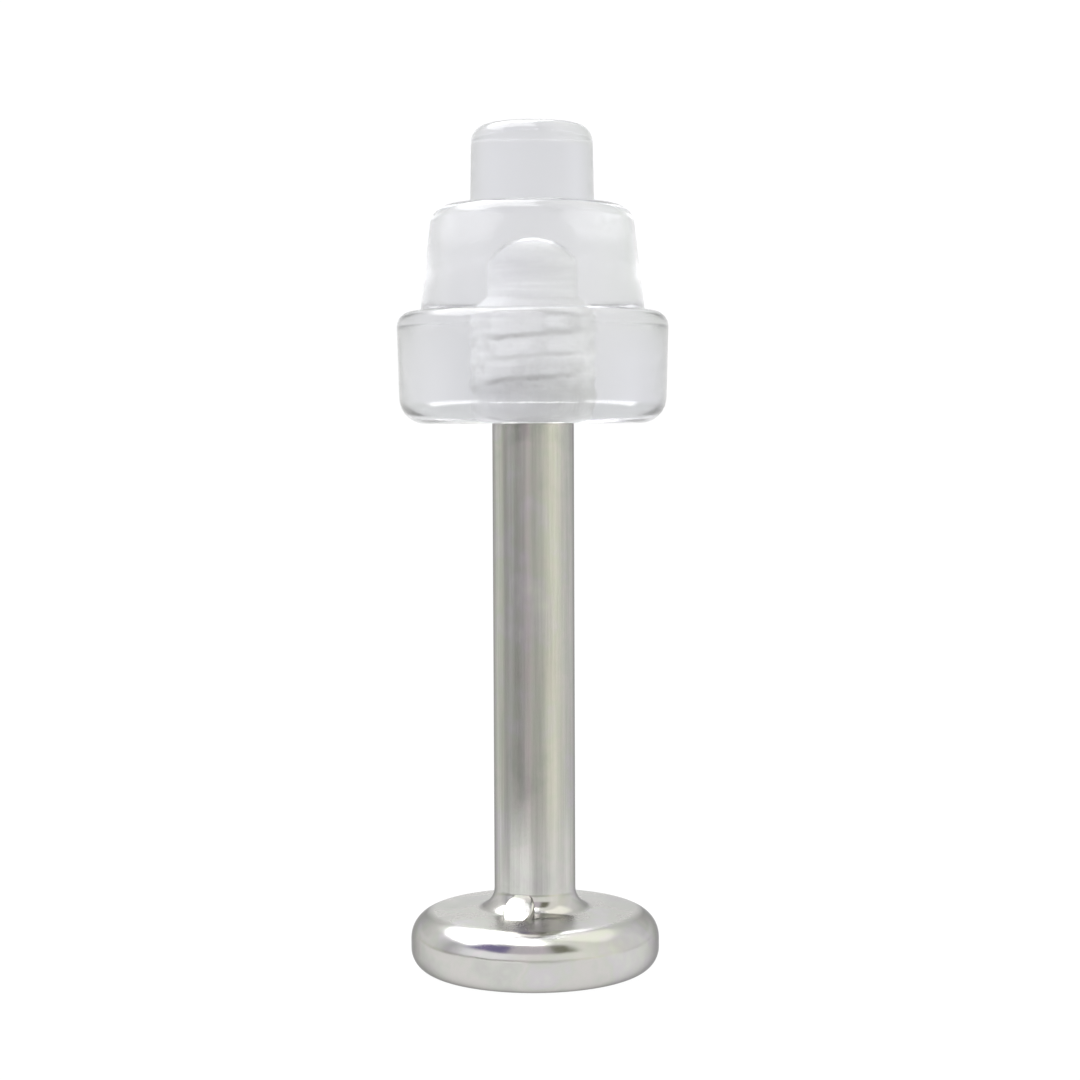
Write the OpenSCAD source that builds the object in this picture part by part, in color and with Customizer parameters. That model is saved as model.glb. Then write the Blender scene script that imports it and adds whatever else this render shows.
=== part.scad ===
// Labret stud: a round bar with a flat-backed disc at its foot and a screw thread at its head,
// and a clear three-tier top with a blind tapped hole that screws onto the thread.
// +Z runs up the bar. The origin is the centre of the disc's flat underside. Sizes are in mm.

/* [Disc] */
// diameter of the flat disc at the foot
disc_d = 4.9; // [4:0.02:6]
// thickness of the disc at the bar
disc_h = 1.24; // [1.2:0.02:1.6]
// how far the disc's top falls from the bar to the rim
disc_fall = 0.1; // [0:0.02:0.14]
// rounding radius of the disc's upper rim
disc_upper_round = 0.54; // [0.3:0.02:0.58]
// rounding radius of the disc's lower rim
disc_lower_round = 0.44; // [0.2:0.02:0.5]

/* [Bar] */
// diameter of the bar
bar_d = 1.6; // [1.2:0.05:2]
// wearable length, from the disc to the clear top
bar_length = 9.52; // [6:0.02:16]
// radius of the fillet where the bar meets the disc
foot_fillet = 0.4; // [0.1:0.02:0.42]

/* [Thread] */
// length of the threaded end, from the wearable length's end to the tip
thread_length = 2; // [1.6:0.05:2.5]
// rise of the thread in one turn
thread_pitch = 0.4; // [0.3:0.05:0.5]
// depth of the groove between the thread's crests
thread_depth = 0.21; // [0.1:0.01:0.22]
// how much the thread's crests lie inside the bar's surface
crest_relief = 0.015; // [0.01:0.005:0.03]
// length of the chamfer at the thread's tip
tip_chamfer = 0.18; // [0.1:0.01:0.3]

/* [Clear top] */
// diameter of the lowest tier at its foot, before its edge is rounded
tier1_base_d = 5.2; // [5:0.02:6.4]
// diameter of the lowest tier at its top, before its edge is rounded
tier1_d = 5.32; // [5.1:0.02:6.5]
// height of the lowest tier
tier1_h = 2.18; // [1.6:0.02:3]
// rounding radius of the lowest tier's upper edge
tier1_upper_round = 0.3; // [0.1:0.02:0.36]
// rounding radius of the lowest tier's lower edge
tier1_lower_round = 0.52; // [0.1:0.02:0.6]
// diameter of the middle tier where it stands on the lowest
tier2_base_d = 4.38; // [3.8:0.02:4.5]
// diameter of the middle tier at its top, before its edge is rounded
tier2_top_d = 3.9; // [3.4:0.02:4.3]
// height of the middle tier
tier2_h = 2.06; // [1.8:0.02:2.6]
// rounding radius of the middle tier's shoulder
tier2_round = 0.4; // [0.1:0.02:0.5]
// diameter of the knob where it stands on the middle tier
knob_base_d = 2.42; // [1.8:0.02:2.8]
// diameter of the knob at its top, before its edge is rounded
knob_top_d = 2.36; // [1.7:0.02:2.8]
// height of the knob
knob_h = 1.56; // [1:0.02:2.2]
// rounding radius of the knob's upper edge
knob_round = 0.34; // [0.1:0.02:0.5]

/* [Tapped hole] */
// radial gap between the thread's crests and the hole
thread_clearance = 0.02; // [0.015:0.005:0.05]
// depth of the helical groove in the hole's wall
groove_depth = 0.05; // [0.03:0.01:0.08]
// how far the full-width tapped stretch runs past the thread's tip
tip_gap = 0.05; // [0.02:0.01:0.2]
// length over which the tap's taper then narrows the hole down to the drilled end
tap_lead = 0.3; // [0.2:0.05:0.4]
// how much wider in radius the plain drilled end is than the thread's root
drill_clearance = 0.01; // [0:0.005:0.04]
// depth of the drilled end past the tapped stretch, to the top of its dome
drill_run = 1.12; // [0.8:0.02:1.4]
// width of the countersink at the hole's mouth
mouth_chamfer = 0.06; // [0.04:0.01:0.12]

/* [Hidden] */
$fn = 64;
// vertical columns of facets round a thread
thread_sides = 32;
// shares of a turn at which a thread's root and crest flats begin and end
flat_share = 0.2;
flank_share = 0.3;
// the thread sinks this far into the bar, and the cutters reach this far out of the clear top
overlap = 0.05;
// width of the small ledges left where two cuts of the hole meet
ledge = 0.01;

bar_r = bar_d / 2;
crest_r = bar_r - crest_relief;
root_r = crest_r - thread_depth;
seat_z = disc_h + bar_length;
post_h = seat_z + thread_length;
tip_r = crest_r - tip_chamfer;

hole_r = crest_r + thread_clearance;
tap_depth = thread_length + tip_gap + tap_lead;
drill_r = root_r + drill_clearance;
hole_depth = tap_depth + drill_run;
mouth_r = hole_r + groove_depth + ledge;

tier2_z = tier1_h;
knob_z = tier2_z + tier2_h;
top_h = knob_z + knob_h;

// A lathe outline with rounded corners. Each corner is [radius, height, rounding], and a
// negative rounding fills an inside corner.
module round_outline(corners) {
    n = len(corners);
    ends = [for (i = [0 : n - 1]) tangent_points(corners, i)];
    difference() {
        union() {
            polygon([for (i = [0 : n - 1]) each ends[i]]);
            for (i = [0 : n - 1])
                if (corners[i][2] > 0)
                    translate(arc_centre(corners, i)) circle(r = corners[i][2]);
        }
        for (i = [0 : n - 1])
            if (corners[i][2] < 0)
                translate(arc_centre(corners, i)) circle(r = -corners[i][2]);
    }
}

function point(corners, i) = let (c = corners[(i + len(corners)) % len(corners)]) [c[0], c[1]];
function unit(v) = v / norm(v);
function ways(corners, i) = [
    unit(point(corners, i - 1) - point(corners, i)),
    unit(point(corners, i + 1) - point(corners, i))
];
function half_angle(corners, i) = let (w = ways(corners, i)) acos(w[0] * w[1]) / 2;
function tangent_points(corners, i) =
    let (r = abs(corners[i][2]), p = point(corners, i), w = ways(corners, i))
    r == 0 ? [p] : [for (way = w) p + way * r / tan(half_angle(corners, i))];
function arc_centre(corners, i) =
    let (w = ways(corners, i))
    point(corners, i) + unit(w[0] + w[1]) * abs(corners[i][2]) / sin(half_angle(corners, i));

// Height of the thread's ridge, 0 at its root and 1 at its crest, at a share of a turn.
function ridge(phase) =
    let (p = phase - floor(phase))
    p < flat_share ? 0
    : p < flat_share + flank_share ? (p - flat_share) / flank_share
    : p < 2 * flat_share + flank_share ? 1
    : (1 - p) / flank_share;

function limit(x, low, high) = min(max(x, low), high);

// A right-handed threaded rod from z = low to z = high. The ridge runs between the radii inner
// and outer. At its low end the groove fades in over fade_in, starting at the radius start.
// At its high end the rod narrows over lead to the radius tip.
module threaded_rod(low, high, inner, outer, start, fade_in, tip, lead) {
    phases = [0, flat_share, flat_share + flank_share, 2 * flat_share + flank_share];
    per_turn = len(phases);
    turns = ceil((high - low) / thread_pitch) + 2;
    rows = turns * per_turn;
    function height(i, j) = limit(
        low + (floor(j / per_turn) - 1 + phases[j % per_turn] + i / thread_sides) * thread_pitch,
        low, high);
    function fade(z) = limit((z - low) / fade_in, 0, 1);
    function radius(i, z) =
        let (full = inner + (outer - inner) * ridge((z - low) / thread_pitch - i / thread_sides))
        min(start + (full - start) * fade(z), tip + (outer - tip) * (high - z) / lead);
    columns = [
        for (i = [0 : thread_sides - 1]) for (j = [0 : rows - 1])
            let (z = height(i, j), r = radius(i, z), a = 360 * i / thread_sides)
            [r * cos(a), r * sin(a), z]
    ];
    function at(i, j) = i < thread_sides ? i * rows + j : min(j + per_turn, rows - 1);
    points = concat(columns, [[0, 0, low], [0, 0, high]]);
    foot = len(columns);
    head = foot + 1;
    faces = [
        for (i = [0 : thread_sides - 1]) each [
            for (j = [0 : rows - 2]) each [
                [at(i, j), at(i, j + 1), at(i + 1, j + 1)],
                [at(i, j), at(i + 1, j + 1), at(i + 1, j)]
            ],
            [foot, at(i, 0), at(i + 1, 0)],
            [head, at(i + 1, rows - 1), at(i, rows - 1)]
        ]
    ];
    polyhedron(points = points, faces = faces, convexity = 10);
}

// The steel post: disc, bar and threaded end in one piece.
module post() {
    color([0.76, 0.75, 0.73]) {
        rotate_extrude()
            round_outline([
                [0, 0, 0],
                [disc_d / 2, 0, disc_lower_round],
                [disc_d / 2, disc_h - disc_fall, disc_upper_round],
                [bar_r, disc_h, -foot_fillet],
                [bar_r, seat_z, 0],
                [0, seat_z, 0]
            ]);
        threaded_rod(
            low = seat_z - overlap, high = post_h,
            inner = root_r, outer = crest_r,
            start = crest_r, fade_in = thread_pitch,
            tip = tip_r, lead = tip_chamfer);
    }
}

// The clear top, seated at the end of the wearable length.
module clear_top() {
    color([0.86, 0.87, 0.91, 0.5])
    translate([0, 0, seat_z])
    difference() {
        rotate_extrude()
            round_outline([
                [0, 0, 0],
                [tier1_base_d / 2, 0, tier1_lower_round],
                [tier1_d / 2, tier2_z, tier1_upper_round],
                [tier2_base_d / 2, tier2_z, 0],
                [tier2_top_d / 2, knob_z, tier2_round],
                [knob_base_d / 2, knob_z, 0],
                [knob_top_d / 2, top_h, knob_round],
                [0, top_h, 0]
            ]);
        threaded_rod(
            low = -overlap, high = tap_depth,
            inner = hole_r, outer = hole_r + groove_depth,
            start = hole_r, fade_in = overlap,
            tip = drill_r + ledge, lead = tap_lead);
        drilled_end();
        mouth();
    }
}

// The plain end of the hole, closed by a dome.
module drilled_end() {
    cylinder(h = hole_depth - drill_r, r = drill_r);
    translate([0, 0, hole_depth - drill_r]) sphere(r = drill_r);
}

// The countersink at the hole's mouth.
module mouth() {
    length = mouth_chamfer + overlap;
    translate([0, 0, -overlap]) cylinder(h = length, r1 = mouth_r + length, r2 = mouth_r);
}

post();
clear_top();
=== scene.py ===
import math

import bpy
from mathutils import Matrix, Vector


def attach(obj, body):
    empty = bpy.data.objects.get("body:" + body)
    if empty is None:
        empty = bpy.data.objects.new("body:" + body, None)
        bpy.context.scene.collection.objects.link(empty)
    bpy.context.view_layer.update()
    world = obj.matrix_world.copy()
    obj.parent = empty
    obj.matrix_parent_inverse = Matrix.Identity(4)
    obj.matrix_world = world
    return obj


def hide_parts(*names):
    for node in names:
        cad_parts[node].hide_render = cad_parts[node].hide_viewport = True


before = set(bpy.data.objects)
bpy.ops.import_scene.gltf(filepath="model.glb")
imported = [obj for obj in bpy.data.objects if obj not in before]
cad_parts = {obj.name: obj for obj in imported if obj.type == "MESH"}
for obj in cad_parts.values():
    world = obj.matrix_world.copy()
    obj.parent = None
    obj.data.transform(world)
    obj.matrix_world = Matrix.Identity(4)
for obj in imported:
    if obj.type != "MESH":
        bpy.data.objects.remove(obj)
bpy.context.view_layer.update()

# Sizes in millimetres, as in the CAD. The outlines below are turned about Z.
MM = 0.001
DISC_D, DISC_H, DISC_FALL = 4.9, 1.24, 0.1
DISC_UPPER_ROUND, DISC_LOWER_ROUND = 0.54, 0.44
BAR_R = 0.8
BAR_LENGTH = 9.52
FOOT_FILLET = 0.4
SEAT_Z = DISC_H + BAR_LENGTH
THREAD_LENGTH, THREAD_PITCH, THREAD_DEPTH = 2.0, 0.4, 0.21
CREST_R = BAR_R - 0.015
TIP_CHAMFER = 0.18
TIER1_BASE_D, TIER1_D, TIER1_H = 5.2, 5.32, 2.18
TIER1_UPPER_ROUND, TIER1_LOWER_ROUND = 0.3, 0.52
TIER2_BASE_D, TIER2_TOP_D, TIER2_H, TIER2_ROUND = 4.38, 3.9, 2.06, 0.4
KNOB_BASE_D, KNOB_TOP_D, KNOB_H, KNOB_ROUND = 2.42, 2.36, 1.56, 0.34
HOLE_R = CREST_R + 0.02
GROOVE_DEPTH = 0.05
TIP_GAP, TAP_LEAD = 0.05, 0.3
DRILL_R = CREST_R - THREAD_DEPTH + 0.01
DRILL_RUN = 1.12
MOUTH_CHAMFER = 0.06
LEDGE = 0.01
OVERLAP = 0.05
FLAT_SHARE, FLANK_SHARE = 0.2, 0.3

SIDES = 192              # facets round a turned shape
ARC_STEPS = 14           # facets along a rounded corner
RINGS_PER_TURN = 20      # rings in one turn of a thread
DOME_STEPS = 16          # facets up the hole's dome
SMOOTH_DEGREES = 28      # edges sharper than this stay sharp


# Turned outlines

def unit(v):
    return v / v.length


def round_outline(corners):
    """Points of a lathe outline from (radius, height, rounding) corners, ends left sharp."""
    points = []
    for i, (r, z, rounding) in enumerate(corners):
        here = Vector((r, z))
        if not rounding or i in (0, len(corners) - 1):
            points.append(here)
            continue
        back = unit(Vector(corners[i - 1][:2]) - here)
        on = unit(Vector(corners[i + 1][:2]) - here)
        half = back.angle(on) / 2
        radius = abs(rounding)
        centre = here + unit(back + on) * radius / math.sin(half)
        first = here + back * radius / math.tan(half) - centre
        last = here + on * radius / math.tan(half) - centre
        for k in range(ARC_STEPS + 1):
            t = k / ARC_STEPS
            sweep = first.angle(last)
            p = (first * math.sin((1 - t) * sweep) + last * math.sin(t * sweep)) / math.sin(sweep)
            points.append(centre + p)
    return points


def ridge(phase):
    """Height of the thread's ridge, 0 at its root and 1 at its crest, at a share of a turn."""
    p = phase % 1
    if p < FLAT_SHARE:
        return 0.0
    if p < FLAT_SHARE + FLANK_SHARE:
        return (p - FLAT_SHARE) / FLANK_SHARE
    if p < 2 * FLAT_SHARE + FLANK_SHARE:
        return 1.0
    return (1 - p) / FLANK_SHARE


def limit(x, low, high):
    return min(max(x, low), high)


def skin(rings):
    """Vertices and faces over rings of points. The first and the last may be a single point."""
    verts, faces, starts = [], [], []
    for points in rings:
        starts.append((len(verts), len(points)))
        verts += points
    for (a, na), (b, nb) in zip(starts, starts[1:]):
        sides = max(na, nb)
        for i in range(sides):
            j = (i + 1) % sides
            if na == 1:
                faces.append((a, b + j, b + i))
            elif nb == 1:
                faces.append((a + i, a + j, b))
            else:
                faces.append((a + i, a + j, b + j, b + i))
    return verts, faces


def ring(r, z):
    """One ring of a turned surface, or its single point on the axis."""
    if r < 1e-9:
        return [(0, 0, z)]
    step = 2 * math.pi / SIDES
    return [(r * math.cos(i * step), r * math.sin(i * step), z) for i in range(SIDES)]


def thread_rings(low, high, inner, outer, start, fade_in, tip, lead, shown_from):
    """Rings up a threaded stretch from shown_from to high, closely spaced for a smooth ridge.

    The ridge runs between the radii inner and outer. Its groove fades in from the radius start
    over fade_in above low, and the stretch narrows to the radius tip over lead below high.
    """
    n = round((high - shown_from) / THREAD_PITCH * RINGS_PER_TURN)
    rings = []
    for k in range(n + 1):
        z = shown_from + (high - shown_from) * k / n
        points = []
        for i in range(SIDES):
            a = 2 * math.pi * i / SIDES
            shape = ridge((z - low) / THREAD_PITCH - i / SIDES)
            full = inner + (outer - inner) * shape
            r = min(start + (full - start) * limit((z - low) / fade_in, 0, 1),
                    tip + (outer - tip) * (high - z) / lead)
            points.append((r * math.cos(a), r * math.sin(a), z))
        rings.append(points)
    return rings


def make_piece(name, *shells):
    """An object made of closed shells, each of them given by its rings."""
    verts, faces = [], []
    for rings in shells:
        shell_verts, shell_faces = skin(rings)
        faces += [tuple(len(verts) + v for v in face) for face in shell_faces]
        verts += shell_verts
    mesh = bpy.data.meshes.new(name)
    mesh.from_pydata([tuple(c * MM for c in v) for v in verts], [], faces)
    mesh.update()
    obj = bpy.data.objects.new(name, mesh)
    bpy.context.collection.objects.link(obj)
    return obj


# Steel post

post_line = round_outline([
    (0, 0, 0),
    (DISC_D / 2, 0, DISC_LOWER_ROUND),
    (DISC_D / 2, DISC_H - DISC_FALL, DISC_UPPER_ROUND),
    (BAR_R, DISC_H, -FOOT_FILLET),
    (BAR_R, SEAT_Z, 0)])
post_rings = [ring(p.x, p.y) for p in post_line]
post_rings += thread_rings(
    low=SEAT_Z - OVERLAP, high=SEAT_Z + THREAD_LENGTH, inner=CREST_R - THREAD_DEPTH, outer=CREST_R,
    start=CREST_R, fade_in=THREAD_PITCH, tip=CREST_R - TIP_CHAMFER, lead=TIP_CHAMFER,
    shown_from=SEAT_Z)
post_rings.append([(0, 0, SEAT_Z + THREAD_LENGTH)])

# The bead of solder at the bar's foot: a shallow lens lying aslant in the corner between the bar
# and the disc. Its back is deeper and sunk into them.
BEAD_AZIMUTH = math.radians(-18)       # 0 towards the camera, + to its right
BEAD_TILT = math.radians(52)           # how far its face looks up
BEAD_OUT, BEAD_UP = 1.04, 0.13         # its middle's place, from the axis and above the disc
BEAD_WIDTH, BEAD_LENGTH = 0.6, 0.8
BEAD_FRONT, BEAD_BACK = 0.05, 0.5      # how far it swells to each side of its rim
BEAD_ROWS, BEAD_COLUMNS = 24, 48


def bead_rings():
    """Rings of the bead, an ellipsoid sunk into the post, from its back to its face."""
    out = Vector((math.sin(BEAD_AZIMUTH), -math.cos(BEAD_AZIMUTH), 0))
    up = Vector((0, 0, 1))
    middle = out * BEAD_OUT + up * (DISC_H + BEAD_UP)
    across = up.cross(out) * BEAD_WIDTH / 2
    down = (out * math.sin(BEAD_TILT) - up * math.cos(BEAD_TILT)) * BEAD_LENGTH / 2
    face = out * math.cos(BEAD_TILT) + up * math.sin(BEAD_TILT)
    rings = []
    for row in range(BEAD_ROWS, -1, -1):
        tilt = math.pi * row / BEAD_ROWS
        swell = face * math.cos(tilt) * (BEAD_FRONT if row < BEAD_ROWS / 2 else BEAD_BACK)
        points = []
        for column in range(BEAD_COLUMNS if 0 < row < BEAD_ROWS else 1):
            a = 2 * math.pi * column / BEAD_COLUMNS
            spot = across * math.cos(a) + down * math.sin(a)
            points.append(tuple(middle + swell + spot * math.sin(tilt)))
        rings.append(points)
    return rings


post = make_piece("post_turned", post_rings, bead_rings())

# Clear top

KNOB_Z = TIER1_H + TIER2_H
TOP_H = KNOB_Z + KNOB_H
MOUTH_R = HOLE_R + GROOVE_DEPTH + LEDGE
TAP_DEPTH = THREAD_LENGTH + TIP_GAP + TAP_LEAD
HOLE_DEPTH = TAP_DEPTH + DRILL_RUN

top_line = round_outline([
    (MOUTH_R + MOUTH_CHAMFER, 0, 0),
    (TIER1_BASE_D / 2, 0, TIER1_LOWER_ROUND),
    (TIER1_D / 2, TIER1_H, TIER1_UPPER_ROUND),
    (TIER2_BASE_D / 2, TIER1_H, 0),
    (TIER2_TOP_D / 2, KNOB_Z, TIER2_ROUND),
    (KNOB_BASE_D / 2, KNOB_Z, 0),
    (KNOB_TOP_D / 2, TOP_H, KNOB_ROUND),
    (0, TOP_H, 0)])
outer_rings = [ring(p.x, p.y) for p in top_line]

# The hole, from the top of its dome down to its mouth. Its groove is half as deep as in the
# CAD, so that it reads as lines in the frost and not as open rings.
hole_rings = []
for k in range(DOME_STEPS + 1):
    a = math.pi / 2 * k / DOME_STEPS
    hole_rings.append(ring(DRILL_R * math.sin(a), HOLE_DEPTH - DRILL_R + DRILL_R * math.cos(a)))
hole_rings.append(ring(DRILL_R, TAP_DEPTH))
hole_rings += thread_rings(
    low=-OVERLAP, high=TAP_DEPTH, inner=HOLE_R, outer=HOLE_R + GROOVE_DEPTH / 2,
    start=HOLE_R, fade_in=OVERLAP, tip=DRILL_R + LEDGE, lead=TAP_LEAD,
    shown_from=MOUTH_CHAMFER)[::-1]
hole_rings.append(ring(MOUTH_R, MOUTH_CHAMFER))
top = make_piece("top_turned", [
    [(x, y, z + SEAT_Z) for x, y, z in r] for r in hole_rings + outer_rings])
hole_faces = (len(hole_rings) - 1) * SIDES


for piece in (post, top):
    for face in piece.data.polygons:
        face.use_smooth = True
    piece.data.set_sharp_from_angle(angle=math.radians(SMOOTH_DEGREES))

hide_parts("post")
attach(post, "post")
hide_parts("clear_top")
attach(top, "clear_top")

# Materials


class Nodes:
    """Short ways to add and join shader nodes in one tree."""

    def __init__(self, tree):
        self.tree = tree
        tree.nodes.clear()

    def add(self, kind, inputs=None, **settings):
        node = self.tree.nodes.new("ShaderNode" + kind)
        for name, value in settings.items():
            setattr(node, name, value)
        for name, value in (inputs or {}).items():
            if hasattr(value, "is_linked"):
                self.tree.links.new(value, node.inputs[name])
            else:
                node.inputs[name].default_value = value
        return node

    def maths(self, operation, *values):
        return self.add("Math", dict(enumerate(values)), operation=operation).outputs[0]

    def times(self, a, b):
        return self.maths("MULTIPLY", a, b)

    def plus(self, a, b):
        return self.maths("ADD", a, b)

    def minus(self, a, b):
        return self.maths("SUBTRACT", a, b)

    def place(self):
        """Where a spot of the surface is, in metres from the piece's origin."""
        return self.add("TexCoord").outputs["Object"]

    def xyz(self, vector):
        return self.add("SeparateXYZ", {0: vector}).outputs

    def stretched(self, vector, scale):
        return self.add("Mapping", {"Vector": vector, "Scale": scale}).outputs[0]

    def noise(self, vector, scale, detail=2.0, roughness=0.5):
        return self.add("TexNoise", {
            "Vector": vector, "Scale": scale, "Detail": detail,
            "Roughness": roughness}).outputs["Fac"]

    def mapped(self, value, low, high, to_low, to_high, interpolation="LINEAR"):
        return self.add("MapRange", {
            "Value": value, "From Min": low, "From Max": high,
            "To Min": to_low, "To Max": to_high}, interpolation_type=interpolation).outputs[0]

    def ramp(self, factor, stops, interpolation="LINEAR"):
        node = self.add("ValToRGB", {"Fac": factor})
        ramp = node.color_ramp
        ramp.interpolation = interpolation
        while len(ramp.elements) < len(stops):
            ramp.elements.new(0.5)
        for element, (place, colour) in zip(ramp.elements, sorted(stops)):
            element.position = place
            element.color = (*colour, 1)
        return node.outputs["Color"]

    def azimuth(self, way):
        """The way round Z in radians, 0 towards the camera and + to its right."""
        return self.maths("ARCTAN2", way[0], self.times(way[1], -1))

    def round_ramp(self, azimuth, colours):
        """Colours all round the stud, given by azimuth in degrees."""
        turn = self.mapped(azimuth, -math.pi, math.pi, 0, 1)
        stops = [((degrees + 180) / 360, colour) for degrees, colour in colours.items()]
        return self.ramp(turn, stops, "EASE")

    def blend(self, share, low, high, blend_type="MIX"):
        """A mix of two colours, each of them a socket or three numbers."""
        node = self.add("Mix", {"Factor": share}, data_type="RGBA", blend_type=blend_type)
        for socket, value in ((node.inputs[6], low), (node.inputs[7], high)):
            if isinstance(value, tuple):
                socket.default_value = (*value, 1)
            else:
                self.tree.links.new(value, socket)
        return node.outputs[2]

    def bump(self, height, strength, distance):
        return self.add("Bump", {
            "Height": height, "Strength": strength, "Distance": distance}).outputs[0]


def new_material(name):
    material = bpy.data.materials.new(name)
    material.use_nodes = True
    return material, Nodes(material.node_tree)


def finish_material(nodes, surface):
    nodes.add("OutputMaterial", {"Surface": surface})


# Texture scales are in cycles a metre, and bump distances are in metres.
STEEL_TINTS = [
    (0.3, (0.52, 0.50, 0.50)), (0.4, (0.55, 0.56, 0.525)), (0.47, (0.59, 0.57, 0.555)),
    (0.53, (0.56, 0.57, 0.53)), (0.6, (0.58, 0.56, 0.575)), (0.7, (0.60, 0.61, 0.57))]
LINE_TINTS = [(0.35, (0.8, 0.8, 0.8)), (0.6, (1, 1, 1))]
LINE_WEAR = 0.6              # how much the drawn lines darken the bar
# Painted shade: faces that don't look up get a darker tint at grazing angles, which draws a dark
# rim along the disc's sides and the bar's outline.
RIM_SHADE_TINT, TOP_TINT = (0.4, 0.4, 0.4), (0.78, 0.78, 0.78)
BAR_START, BAR_FULL = 0.1, 0.5       # heights above the disc where its dents give way to lines
STEEL_BUMP = 0.000014


def steel_material():
    """Polished steel: fine lines up the bar, dents on the disc, a duller top to the disc, and
    painted shade as a dark rim on faces that don't look up.
    """
    material, nodes = new_material("steel")
    place = nodes.place()
    on_bar = nodes.mapped(nodes.xyz(place)["Z"], (DISC_H + BAR_START) * MM,
                          (DISC_H + BAR_FULL) * MM, 0, 1)
    lines = nodes.noise(nodes.stretched(place, (1, 1, 0.03)), 9000, 3.0, 0.6)
    broad = nodes.noise(nodes.stretched(place, (1, 1, 0.1)), 2600)
    dents = nodes.noise(place, 1300)
    smudges = nodes.noise(place, 700, 4.0, 0.6)
    grain = nodes.noise(place, 16000, 2.0, 0.6)

    streaks = nodes.plus(nodes.times(lines, 0.2), nodes.times(broad, 0.35))
    waves = nodes.add("Mix", {"Factor": on_bar, "A": dents, "B": streaks}).outputs[0]
    relief = nodes.plus(waves, nodes.times(grain, 0.02))
    colour = nodes.blend(nodes.times(on_bar, LINE_WEAR), nodes.ramp(smudges, STEEL_TINTS),
                         nodes.ramp(lines, LINE_TINTS), "MULTIPLY")
    facing_up = nodes.xyz(nodes.add("NewGeometry").outputs["Normal"])["Z"]
    dull = nodes.mapped(facing_up, 0.95, 0.998, 0, 0.11, "SMOOTHSTEP")
    roughness = nodes.plus(nodes.mapped(smudges, 0.3, 0.7, 0.12, 0.22), dull)
    # Painted shade: a darker grazing tint on faces that don't look up, for a dark rim along the
    # edges.
    painted_rim_shade = nodes.ramp(nodes.mapped(facing_up, 0.9, 0.99, 0, 1), [(0, RIM_SHADE_TINT), (1, TOP_TINT)])
    shader = nodes.add("BsdfPrincipled", {
        "Base Color": colour, "Metallic": 1.0, "Roughness": roughness,
        "Specular Tint": painted_rim_shade, "Normal": nodes.bump(relief, 1.0, STEEL_BUMP)})
    finish_material(nodes, shader.outputs[0])
    return material


ACRYLIC_IOR = 1.49
# Painted shade: this grey tint darkens everything seen through the acrylic, in place of darker
# surroundings.
ACRYLIC_TINT_AND_SHADE = [(0.3, (0.625, 0.63, 0.655)), (0.7, (0.69, 0.695, 0.715))]
ACRYLIC_BUMP = 0.00005


def acrylic_material():
    """Clear acrylic with a cool grey tint, which is painted shade in place of darker surroundings
    seen through it, and a moulded waviness.
    """
    material, nodes = new_material("clear_acrylic")
    place = nodes.place()
    waves = nodes.noise(nodes.stretched(place, (1, 1, 0.5)), 500)
    scuffs = nodes.noise(place, 2500, 4.0, 0.65)
    shader = nodes.add("BsdfPrincipled", {
        "Base Color": nodes.ramp(waves, ACRYLIC_TINT_AND_SHADE), "Transmission Weight": 1.0,
        "IOR": ACRYLIC_IOR, "Roughness": nodes.mapped(scuffs, 0.35, 0.7, 0.1, 0.2),
        "Normal": nodes.bump(waves, 0.3, ACRYLIC_BUMP)})
    finish_material(nodes, shader.outputs[0])
    return material


# The frost's colour: white, darkened by random flaws and by painted shade along the thread.
FROST_TONE_AND_SHADE = [(0, (0.98, 0.985, 0.98)), (1, (0.66, 0.66, 0.65))]
BORE_CLEAR = (0.97, 0.975, 0.97, 1)
BORE_BUMP = 0.00006
THREAD_SHADE_START, THREAD_SHADE_FULL = 0.55, 0.75     # heights above the mouth where the painted shade along the thread begins
THREAD_SHADE_FADE = 0.1                         # length over which the painted shade ends at the thread's tip
DOME_START, DOME_FULL = 0.45, 0.2        # depths below the dome's top where its edge turns clear


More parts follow.
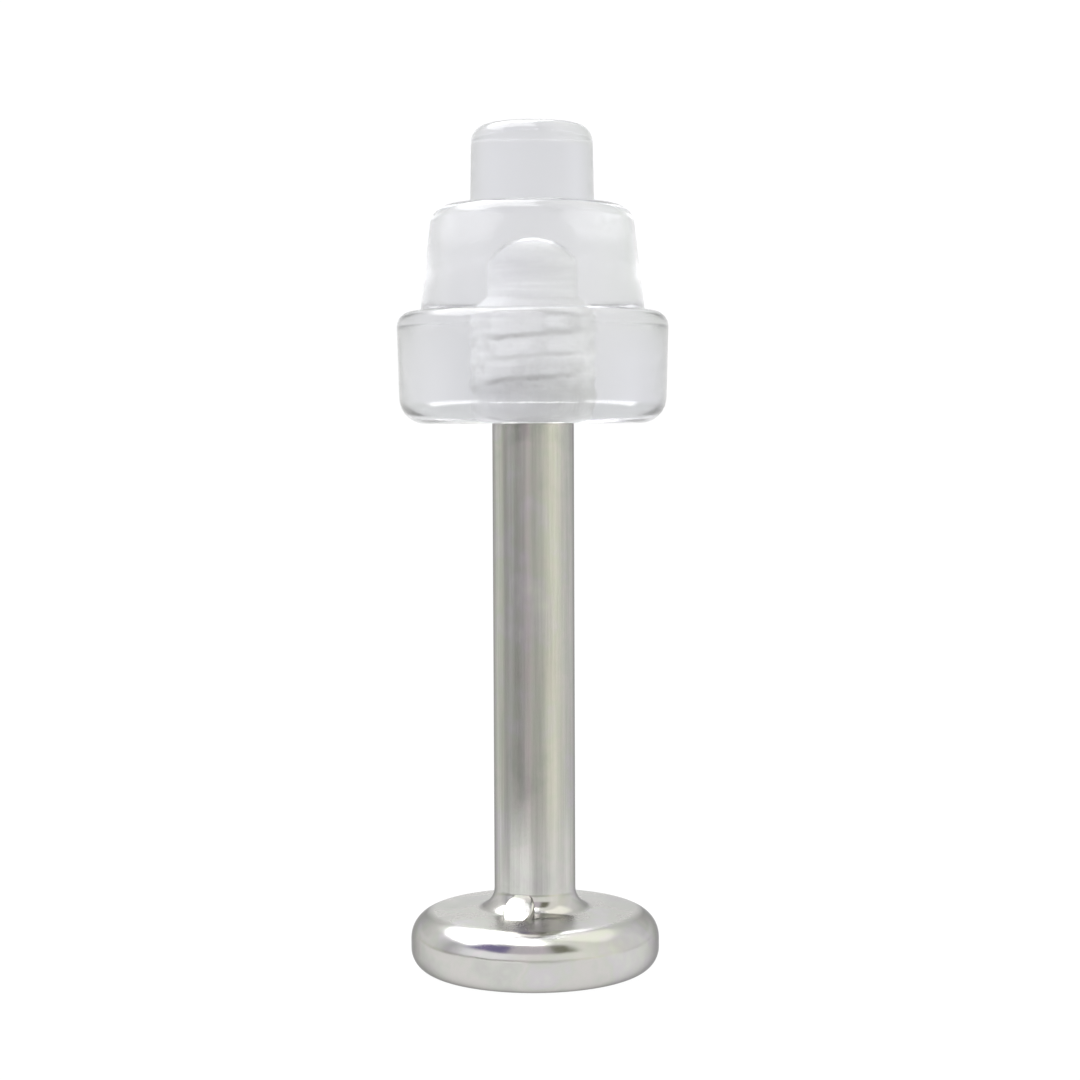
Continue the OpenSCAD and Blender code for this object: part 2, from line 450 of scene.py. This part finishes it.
def bore_material():
    """The hole's cut wall: frosted, with painted shade in dark bands along the thread, and clear
    at the dome's edge.
    """
    material, nodes = new_material("cut_acrylic")
    place = nodes.place()
    way = nodes.xyz(place)
    cuts = nodes.noise(nodes.stretched(place, (1, 1, 8)), 900, 4.0, 0.6)
    patches = nodes.noise(place, 2200, 4.0, 0.65)
    facing = nodes.add("LayerWeight").outputs["Facing"]

    def rising(start, full, low, high):
        return nodes.mapped(way[2], (SEAT_Z + start) * MM, (SEAT_Z + full) * MM, low, high)

    # Which part of a turn of the thread a spot is at, made a little uneven
    turn = nodes.times(nodes.maths("ARCTAN2", way[1], way[0]), 0.5 / math.pi)
    rise = nodes.times(nodes.minus(way[2], SEAT_Z * MM), 1 / (THREAD_PITCH * MM))
    wobble = nodes.times(nodes.minus(patches, 0.5), 0.5)
    phase = nodes.maths("FRACT", nodes.plus(nodes.minus(rise, turn), wobble))
    crest = nodes.maths("ABSOLUTE", nodes.minus(phase, 0.5))

    # Painted shade of the thread: dark bands along its turns, strongest on the wall that faces the
    # camera and fading to the sides.
    band = nodes.times(nodes.mapped(crest, 0.03, 0.2, 1, 0, "SMOOTHSTEP"),
                       nodes.mapped(facing, 0.1, 0.45, 1, 0.1, "SMOOTHSTEP"))
    along_thread = nodes.times(rising(THREAD_SHADE_START, THREAD_SHADE_FULL, 0.1, 1),
                         rising(THREAD_LENGTH, THREAD_LENGTH + THREAD_SHADE_FADE, 1, 0))
    painted_thread_shade = nodes.times(nodes.mapped(patches, 0.4, 0.6, 0.3, 1), nodes.times(band, along_thread))
    flaws = nodes.times(nodes.mapped(patches, 0.36, 0.56, 0.4, 0, "SMOOTHSTEP"), along_thread)
    polished = nodes.times(nodes.mapped(facing, 0.5, 0.75, 0, 0.8, "SMOOTHSTEP"),
                           rising(HOLE_DEPTH - DOME_START, HOLE_DEPTH - DOME_FULL, 0, 1))

    normal = nodes.bump(nodes.plus(nodes.times(cuts, 0.15), patches), 1.0, BORE_BUMP)
    glass = nodes.add("BsdfPrincipled", {
        "Base Color": BORE_CLEAR, "Transmission Weight": 1.0, "IOR": ACRYLIC_IOR,
        "Roughness": nodes.mapped(cuts, 0.3, 0.7, 0.15, 0.3), "Normal": normal})
    frost = nodes.add("BsdfDiffuse", {
        "Color": nodes.ramp(nodes.plus(painted_thread_shade, flaws), FROST_TONE_AND_SHADE), "Normal": normal})
    share = nodes.times(nodes.mapped(cuts, 0.3, 0.7, 0.85, 0.97), nodes.minus(1, polished))
    both = nodes.add("MixShader", {0: share, 1: glass.outputs[0], 2: frost.outputs[0]})
    finish_material(nodes, both.outputs[0])
    return material


post.data.materials.append(steel_material())
top.data.materials.append(acrylic_material())
top.data.materials.append(bore_material())
for face in top.data.polygons[:hole_faces]:
    face.material_index = 1

# Floor: a round of light table under the stud, which fades into the studio round it

FLOOR_R = 60
FLOOR_STEPS = 96
floor_mesh = bpy.data.meshes.new("floor")
floor_turns = [2 * math.pi * i / FLOOR_STEPS for i in range(FLOOR_STEPS)]
floor_rim = [(FLOOR_R * MM * math.cos(a), FLOOR_R * MM * math.sin(a), 0) for a in floor_turns]
floor_mesh.from_pydata(floor_rim, [], [tuple(range(FLOOR_STEPS))])
floor = bpy.data.objects.new("floor", floor_mesh)
bpy.context.collection.objects.link(floor)

# Painted light and shade on the table where the stud mirrors it: a pool of light to the front
# left, with darker patches to the left and straight ahead, by azimuth in degrees, 0 towards the
# camera and + to its right. Near the stud, and where the camera sees the table, it is an even
# TABLE_NEAR.
TABLE = {
    -180: 1.02, -118: 1.0, -92: 0.7, -78: 0.62, -66: 1.1, -44: 1.25, -15: 1.2, -3: 0.8,
    15: 0.74, 28: 0.9, 45: 1.0, 90: 1.0, 130: 1.0, 180: 1.02}
TABLE_NEAR = 0.98
TABLE_STRENGTH = 2.0
NEAR_END, FAR_START = 7.5, 9.5       # distances in front of the stud between which they blend
SIDE_EXTRA = 3.2                     # how much further off the same is to the sides
TABLE_EDGE, TABLE_FADE = 19, 4       # where the table ends, and the width of its torn edge
TEAR_SCALE, TEAR_WIDTH = 260, 8
PAPER = (0.04, 0.04, 0.04, 1)


def grey(brightness):
    """A colour for a lamp of TABLE_STRENGTH, since a ramp holds 0 to 1."""
    return (brightness / TABLE_STRENGTH,) * 3


def floor_material():
    material, nodes = new_material("floor")
    place = nodes.place()
    way = nodes.xyz(place)
    ahead = nodes.times(way[1], -1)
    aside = nodes.minus(nodes.maths("ABSOLUTE", way[0]), SIDE_EXTRA * MM)
    far = nodes.mapped(nodes.maths("MAXIMUM", ahead, aside), NEAR_END * MM, FAR_START * MM,
                       0, 1, "SMOOTHSTEP")
    painted_light_and_shade = nodes.round_ramp(nodes.azimuth(way), {a: grey(v) for a, v in TABLE.items()})
    shade = nodes.blend(far, grey(TABLE_NEAR), painted_light_and_shade)
    lit = nodes.add("Emission", {"Color": shade, "Strength": TABLE_STRENGTH})
    paper = nodes.add("BsdfDiffuse", {"Color": PAPER})
    table = nodes.add("AddShader", {0: lit.outputs[0], 1: paper.outputs[0]})
    reach = nodes.add("VectorMath", {0: place}, operation="LENGTH").outputs["Value"]
    tear = nodes.minus(nodes.noise(place, TEAR_SCALE, 3.0, 0.6), 0.5)
    gone = nodes.mapped(nodes.plus(reach, nodes.times(tear, TEAR_WIDTH * MM)), TABLE_EDGE * MM,
                        (TABLE_EDGE + TABLE_FADE) * MM, 0, 1, "SMOOTHSTEP")
    clear = nodes.add("BsdfTransparent")
    both = nodes.add("MixShader", {0: gone, 1: table.outputs[0], 2: clear.outputs[0]})
    finish_material(nodes, both.outputs[0])
    return material


floor_mesh.materials.append(floor_material())

# The studio round the stud. Azimuths are in degrees, 0 towards the camera and + to its
# right. Colours are half the real radiance, since a ramp holds 0 to 1.

STUDIO_STRENGTH = 2.0
LEVEL_END, UPPER_START = 1.5, 4.5        # elevations between which LEVEL gives way to UPPER
# What the upright bar mirrors, just below its own height
LEVEL = {
    -180: (0.515, 0.515, 0.515), -160: (0.54, 0.54, 0.535), -140: (0.53, 0.535, 0.52),
    -122: (0.46, 0.47, 0.44), -103: (0.37, 0.38, 0.345), -86: (0.25, 0.25, 0.24),
    -70: (0.27, 0.27, 0.27), -58: (0.235, 0.24, 0.225), -46: (0.195, 0.195, 0.185),
    -34: (0.21, 0.205, 0.205), -24: (0.29, 0.275, 0.275), -15: (0.325, 0.295, 0.30),
    -4: (0.30, 0.30, 0.28), 10: (0.305, 0.31, 0.285), 22: (0.33, 0.335, 0.305),
    33: (0.40, 0.405, 0.355), 46: (0.49, 0.49, 0.425), 60: (0.53, 0.53, 0.46),
    74: (0.50, 0.50, 0.45), 92: (0.43, 0.43, 0.41), 108: (0.40, 0.40, 0.39),
    124: (0.46, 0.46, 0.455), 142: (0.53, 0.53, 0.53), 180: (0.515, 0.515, 0.515)}
# The same for what stands higher than the eye
UPPER = {
    -180: (0.515, 0.515, 0.52), -163: (0.52, 0.52, 0.525), -147: (0.56, 0.56, 0.57),
    -130: (0.52, 0.52, 0.525), -113: (0.48, 0.485, 0.48), -98: (0.40, 0.40, 0.405),
    -88: (0.31, 0.305, 0.33), -78: (0.42, 0.415, 0.44), -66: (0.58, 0.57, 0.61),
    -50: (0.63, 0.62, 0.65), -30: (0.62, 0.605, 0.64), -16: (0.57, 0.56, 0.565),
    -2: (0.53, 0.525, 0.52), 14: (0.53, 0.53, 0.515), 30: (0.55, 0.55, 0.53),
    46: (0.56, 0.56, 0.535), 64: (0.53, 0.53, 0.50), 84: (0.48, 0.485, 0.44),
    104: (0.47, 0.475, 0.46), 120: (0.50, 0.50, 0.50), 134: (0.53, 0.53, 0.535),
    148: (0.56, 0.56, 0.565), 164: (0.52, 0.52, 0.525), 180: (0.515, 0.515, 0.52)}
# Cards and softboxes, each laid over those before it: middle azimuth, half width, lowest and
# highest elevation, softness of the edge, colour
PANELS = {
    "front_card": (0, 110, -60, -14, 4, (0.64, 0.64, 0.64)),
    "low_card": (0, 42, -60, -27, 2, (7.0, 7.0, 7.0)),
    "left_card": (-76, 28, -28, -17, 8, (4.2, 4.2, 4.2)),
    "right_card": (76, 28, -28, -17, 8, (4.2, 4.2, 4.2)),
    "back_top": (180, 60, 12, 90, 2, (0.46, 0.465, 0.46)),
    "key_softbox": (-125, 66, 40, 90, 7, (2.5, 2.5, 2.5)),
    "right_softbox": (118, 40, 46, 80, 10, (0.72, 0.72, 0.66)),
    "ceiling": (-10, 34, 29, 62, 6, (0.37, 0.345, 0.375)),
    "ceiling_left": (-50, 22, 29, 57, 10, (0.13, 0.11, 0.21)),
    "ceiling_right": (31, 13, 30, 62, 10, (0.11, 0.11, 0.08)),
    "key_softbox_top": (-82, 98, 66, 90, 6, (2.5, 2.5, 2.5)),
}


def studio():
    """The world's light, from LEVEL, UPPER and PANELS."""
    world = bpy.data.worlds.new("studio")
    bpy.context.scene.world = world
    world.use_nodes = True
    nodes = Nodes(world.node_tree)
    way = nodes.xyz(nodes.add("TexCoord").outputs["Generated"])
    azimuth = nodes.azimuth(way)
    elevation = nodes.maths("ARCSINE", way[2])

    def inside(value, low, high, soft):
        middle = math.radians((low + high) / 2)
        half = math.radians((high - low) / 2)
        edge = math.radians(soft) / 2
        offset = nodes.maths("ABSOLUTE", nodes.minus(value, middle))
        return nodes.mapped(offset, half - edge, half + edge, 1, 0, "SMOOTHSTEP")

    above = nodes.mapped(elevation, math.radians(LEVEL_END), math.radians(UPPER_START),
                         0, 1, "SMOOTHSTEP")
    colour = nodes.blend(above, nodes.round_ramp(azimuth, LEVEL), nodes.round_ramp(azimuth, UPPER))
    for middle, half, low, high, soft, shade in PANELS.values():
        aside = nodes.maths("WRAP", nodes.minus(azimuth, math.radians(middle)), math.pi, -math.pi)
        share = nodes.times(inside(aside, -half, half, soft), inside(elevation, low, high, soft))
        colour = nodes.blend(share, colour, shade)
    light = nodes.add("Background", {"Color": colour, "Strength": STUDIO_STRENGTH})
    nodes.add("OutputWorld", {"Surface": light.outputs[0]})


studio()

# Camera, at the photo's place: 44 mm off, level with the underside of the clear top

CAMERA_DISTANCE = 43.93
CAMERA_Z = SEAT_Z - 0.06
CAMERA_X = 0.127
CAMERA_PITCH = 0.0506
CAMERA_ROLL = -0.004
FOCAL_PX = 2240
camera_data = bpy.data.cameras.new("camera")
camera_data.sensor_width = 36
camera_data.lens = FOCAL_PX / 1080 * 36
camera_data.clip_start = 0.001
camera_data.clip_end = 10
camera = bpy.data.objects.new("camera", camera_data)
bpy.context.collection.objects.link(camera)
camera.matrix_world = (
    Matrix.Translation(Vector((CAMERA_X, -CAMERA_DISTANCE, CAMERA_Z)) * MM)
    @ Matrix.Rotation(math.pi / 2 - CAMERA_PITCH, 4, "X")
    @ Matrix.Rotation(CAMERA_ROLL, 4, "Z"))
bpy.context.scene.camera = camera
bpy.context.scene.view_settings.view_transform = "Standard"
